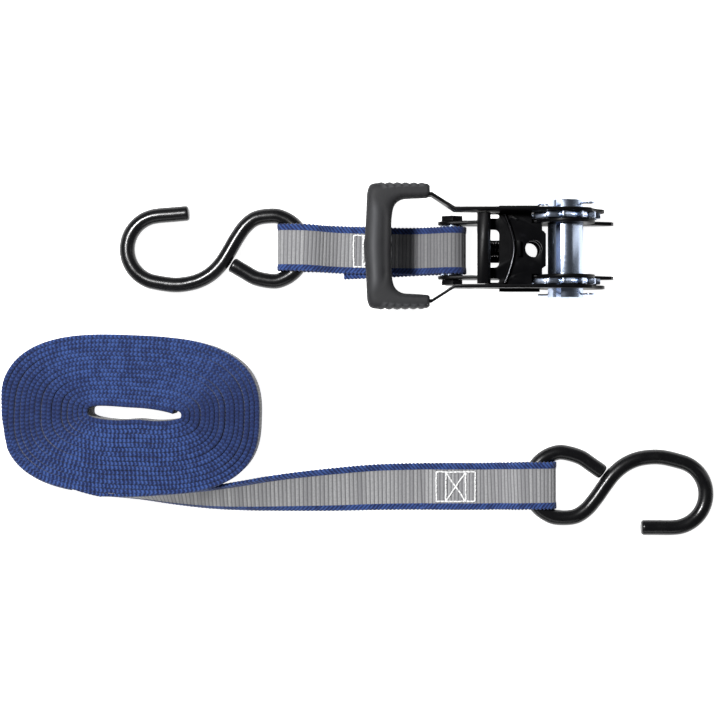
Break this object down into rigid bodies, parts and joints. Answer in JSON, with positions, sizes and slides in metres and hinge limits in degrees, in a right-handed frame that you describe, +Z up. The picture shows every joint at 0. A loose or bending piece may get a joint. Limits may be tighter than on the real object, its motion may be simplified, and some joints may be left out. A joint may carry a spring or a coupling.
{
  "type": "ratchet tie down",
  "caption": "Webbing tie-down: a ratchet on a short strap with an S-hook, and a loose long strap with an S-hook, wound in a flat coil.",
  "frame": {"origin": "on the floor, under the middle of the bounding box of both halves as they lie", "axes": "+X along the straps, from the short strap's S-hook towards the ratchet; +Z up off the floor"},
  "size_m": [0.3792, 0.1868, 0.0394],
  "materials": {
    "black_steel": "satin",
    "zinc_steel": "satin",
    "rubber_grip": "matte",
    "vinyl_coated_steel": "gloss",
    "webbing": "matte",
    "thread": "matte"
  },
  "bodies": {
    "ratchet": {"ratchet_frame": "black_steel", "anchor_bolt": "black_steel", "anchor_nut": "black_steel", "anchor_spacer": "zinc_steel", "lock_pawl_spring": "zinc_steel", "short_strap": "webbing", "short_strap_stitching": "thread"},
    "handle": {"handle_frame": "black_steel", "handle_grip": "rubber_grip", "release_lever_spring": "zinc_steel"},
    "lever": {"release_lever": "black_steel"},
    "lock": {"lock_pawl": "black_steel"},
    "spindle": {"spindle_half_left": "zinc_steel", "spindle_half_right": "zinc_steel", "ratchet_wheel_near": "zinc_steel", "ratchet_wheel_far": "zinc_steel", "cotter_pin_near": "zinc_steel", "cotter_pin_far": "zinc_steel"},
    "short_hook": {"short_strap_hook": "vinyl_coated_steel", "short_strap_eye": "webbing"},
    "loose_strap": {"long_strap_coil": "webbing", "long_strap_run": "webbing", "long_strap_end": "webbing", "long_strap_stitching": "thread"},
    "long_hook": {"long_strap_hook": "vinyl_coated_steel", "long_strap_eye": "webbing"}
  },
  "joints": [
    {"name": "handle_hinge", "type": "hinge", "parent": "ratchet", "child": "handle", "pos_m": [0.1075, 0.05973, 0.021], "axis": [0, 1, 0], "range_deg": [0, 180]},
    {"name": "release_lever_slide", "type": "slide", "parent": "handle", "child": "lever", "axis": [-1, 0, 0], "range_m": [-0.0022, 0.0038], "stiffness_N_per_m": 400, "deforming": ["release_lever_spring"]},
    {"name": "lock_pawl_slide", "type": "slide", "parent": "ratchet", "child": "lock", "axis": [-1, 0, 0], "range_m": [0, 0.0032], "stiffness_N_per_m": 400, "springref_m": -0.002, "deforming": ["lock_pawl_spring"]},
    {"name": "spindle_turn", "type": "hinge", "parent": "ratchet", "child": "spindle", "pos_m": [0.1075, 0.05973, 0.021], "axis": [0, 1, 0], "continuous": true},
    {"name": "short_hook_swing", "type": "hinge", "parent": "ratchet", "child": "short_hook", "pos_m": [-0.0168, 0.06043, 0.0026], "axis": [0, 1, 0], "range_deg": [0, 90]},
    {"name": "loose_strap_lift", "type": "slide", "parent": "ratchet", "child": "loose_strap", "axis": [0, 0, 1], "range_m": [0, 0.12]},
    {"name": "long_hook_swing", "type": "hinge", "parent": "loose_strap", "child": "long_hook", "pos_m": [0.0748, -0.06757, 0.0026], "axis": [0, -1, 0], "range_deg": [0, 90]}
  ]
}
